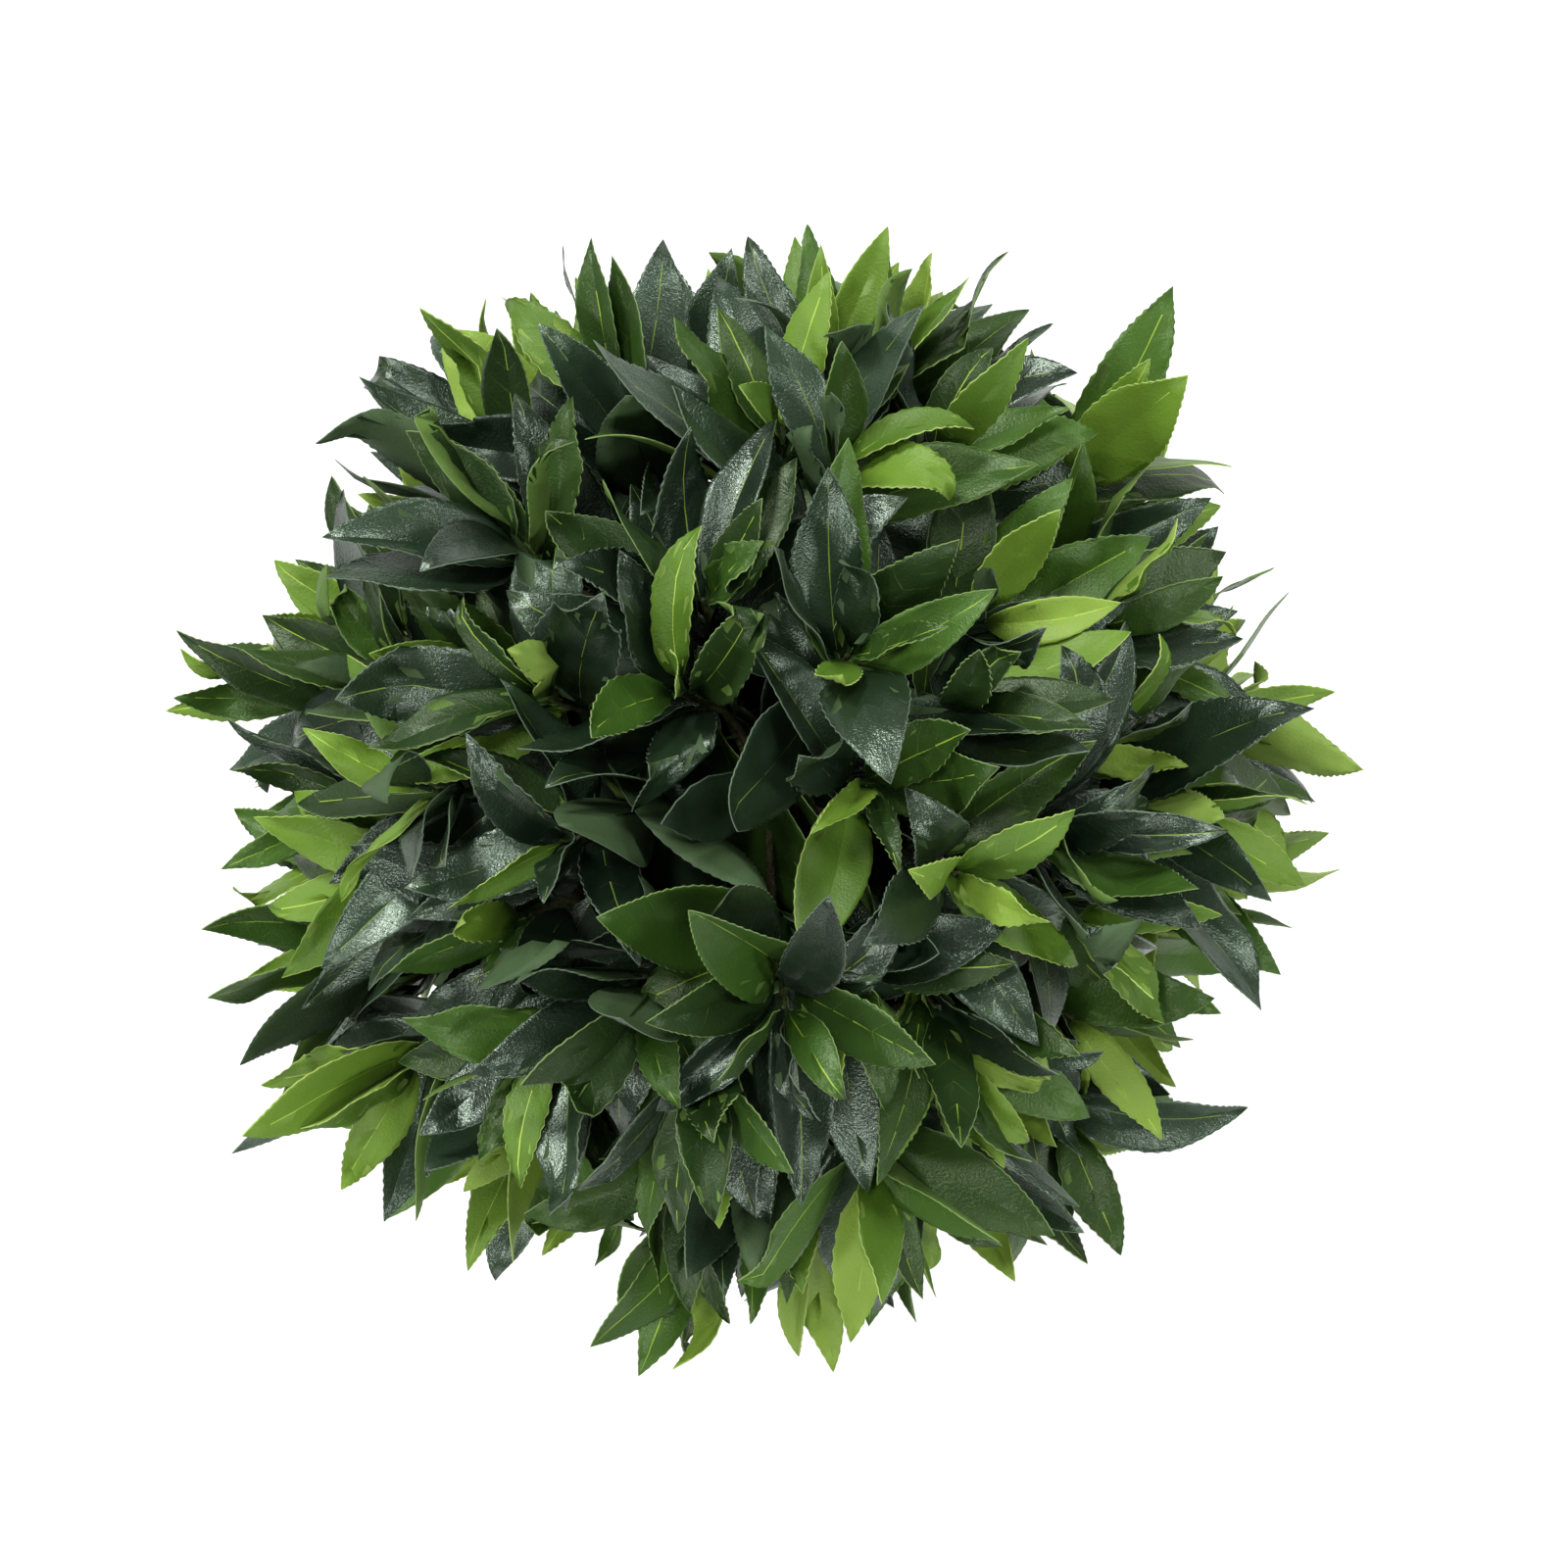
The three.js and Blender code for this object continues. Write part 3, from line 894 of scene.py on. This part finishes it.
def grow(spray, zone):
    """The leaves of one zone of a spray, each a golden angle on from the last, if there is room for it."""
    leaves = []
    for _ in range(zone["leaves"]):
        leaf = placed_leaf(spray, zone, spray.turn)
        spray.turn += GOLDEN_ANGLE + random.normal(0, TURN_SPREAD)
        if leaf is not None:
            leaves.append(leaf)
    return leaves


def material_row(leaf):
    """The material of each role on one leaf, in the order of Plan.ROLES."""
    family = leaf["family"]
    special = {"top": (family, "top", leaf["tint"]), "rib": "rib"}
    return [MATERIAL_INDEX[special.get(role, (family, role))] for role in Plan.ROLES]


def faded_veins(plan, leaves):
    """The role of each triangle on each leaf, with gaps in the printed veins and midrib."""
    roles = np.tile(plan.roles, (len(leaves), 1))
    for role, share in (("vein", "veined"), ("midrib", "lined")):
        shown = np.array([leaf[share] for leaf in leaves])[:, None]
        gaps = (roles == plan.ROLES.index(role)) & (random.random(roles.shape) > shown)
        roles[gaps] = plan.ROLES.index("top")
    return roles


def leaf_arrays(leaves):
    """Points, triangles, materials and flat marks of a list of leaves."""
    parts, indices, flat = [], [], []
    for name, plan in PLANS.items():
        chosen = [leaf for leaf in leaves if leaf["plan"] == name]
        if not chosen:
            continue
        points = leaf_points(plan, chosen)
        starts = np.arange(len(chosen))[:, None, None] * len(plan.u)
        parts.append((points.reshape(-1, 3), (plan.triangles[None] + starts).reshape(-1, 3)))
        roles = faded_veins(plan, chosen)
        rows = np.array([material_row(leaf) for leaf in chosen])
        indices.append(np.take_along_axis(rows, roles, axis=1).ravel())
        flat.append(np.tile(np.isin(plan.roles, FLAT_ROLES), len(chosen)))
    points, triangles = joined(parts)
    return points, triangles, np.concatenate(indices), np.concatenate(flat)


def build_crown(bough_lines, leader_path):
    """Every spray on the bough of the mass nearest to it, and each mass's leaves as a piece in its place."""
    sprays = []
    for way in spray_ways():
        mass = max(MASSES, key=lambda name: MASS_WAYS[name].dot(way))
        sprays.append((mass, Spray(way, bough_lines.get(mass.replace("crown_", "bough_"), leader_path))))
    leaves = {name: [] for name in MASSES}
    for zone in ZONES:
        for mass, spray in sprays:
            leaves[mass] += grow(spray, zone)
    wood = [spray.wood() for _, spray in sprays]
    for mass, grown in leaves.items():
        points, triangles, indices, flat = leaf_arrays(grown)
        piece = new_piece(mass.replace("crown_", "leaves_"), points, triangles, LEAF_MATERIALS, indices, flat)
        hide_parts(mass)
    twigs = new_piece("twigs", *joined(wood), [TWIG_PLASTIC])


# ---------------------------------------------------------------- studio

CAMERA_ABOVE = 1.25
CAMERA_LENS = 74
CROWN_OFF_CENTRE = 9 * MM
FLOOR_SIZE = 14
LAMPS = 6
LAMP_TILT = math.radians(52)
LAMP_SPREAD = math.radians(12)
LAMP_STRENGTH = 1.0
KEY_STRENGTH = 2.5
KEY_TURN = math.radians(215)
TOP_LAMP = math.radians(20), math.radians(10), 0.9
SURROUND_STRENGTH = 0.24
BACKDROP_STRENGTH = 1.0
FLOOR_SHADE = 0.66


def add_lamp(name, tilt, turn, spread, strength):
    lamp = bpy.data.lights.new(name, "SUN")
    lamp.energy = strength
    lamp.angle = spread
    holder = bpy.data.objects.new(name, lamp)
    holder.rotation_euler = (tilt, 0, turn)
    bpy.context.scene.collection.objects.link(holder)


def build_studio():
    """A pale floor, a ring of soft lamps with a stronger one, a lamp from above and a pale surround."""
    bpy.ops.mesh.primitive_plane_add(size=FLOOR_SIZE, location=(0, 0, 0))
    floor = bpy.context.object
    floor.name = "floor"
    material, tree, shader = new_material("pale_floor", (FLOOR_SHADE, FLOOR_SHADE, FLOOR_SHADE, 1), 0.9)
    add_bump(tree, shader, noise_of(tree, 300), 0.2 * MM, 0.1)
    floor.data.materials.append(material)
    for number in range(LAMPS):
        strength = KEY_STRENGTH if number == 0 else LAMP_STRENGTH
        turn = KEY_TURN + number * 2 * math.pi / LAMPS
        add_lamp(f"soft_lamp_{number + 1}", LAMP_TILT, turn, LAMP_SPREAD, strength)
    tilt, spread, strength = TOP_LAMP
    add_lamp("top_lamp", tilt, KEY_TURN, spread, strength)
    world = bpy.data.worlds.new("surround")
    world.use_nodes = True
    tree = world.node_tree
    light = tree.nodes["Background"]
    light.inputs["Color"].default_value = (1, 1, 1, 1)
    light.inputs["Strength"].default_value = SURROUND_STRENGTH
    backdrop = tree.nodes.new("ShaderNodeBackground")
    backdrop.inputs["Color"].default_value = (1, 1, 1, 1)
    backdrop.inputs["Strength"].default_value = BACKDROP_STRENGTH
    seen = tree.nodes.new("ShaderNodeLightPath")
    mix = tree.nodes.new("ShaderNodeMixShader")
    tree.links.new(seen.outputs["Is Camera Ray"], mix.inputs["Fac"])
    tree.links.new(light.outputs["Background"], mix.inputs[1])
    tree.links.new(backdrop.outputs["Background"], mix.inputs[2])
    tree.links.new(mix.outputs["Shader"], tree.nodes["World Output"].inputs["Surface"])
    bpy.context.scene.world = world
    bpy.context.scene.view_settings.view_transform = "Standard"


def build_camera():
    """A camera straight above the crown, looking down."""
    data = bpy.data.cameras.new("camera")
    data.lens = CAMERA_LENS
    camera = bpy.data.objects.new("camera", data)
    camera.location = CROWN_CENTRE + [CROWN_OFF_CENTRE, 0, CAMERA_ABOVE]
    bpy.context.scene.collection.objects.link(camera)
    bpy.context.scene.camera = camera


build_stem()
bough_lines = build_boughs()
stem_top = np.array(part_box("trunk")).mean(axis=0) * [1, 1, 0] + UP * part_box("trunk")[1].z
leader_path = np.array([stem_top - UP * back * MM for back in (20, 10, 0)])
build_crown(bough_lines, leader_path)
build_studio()
build_camera()
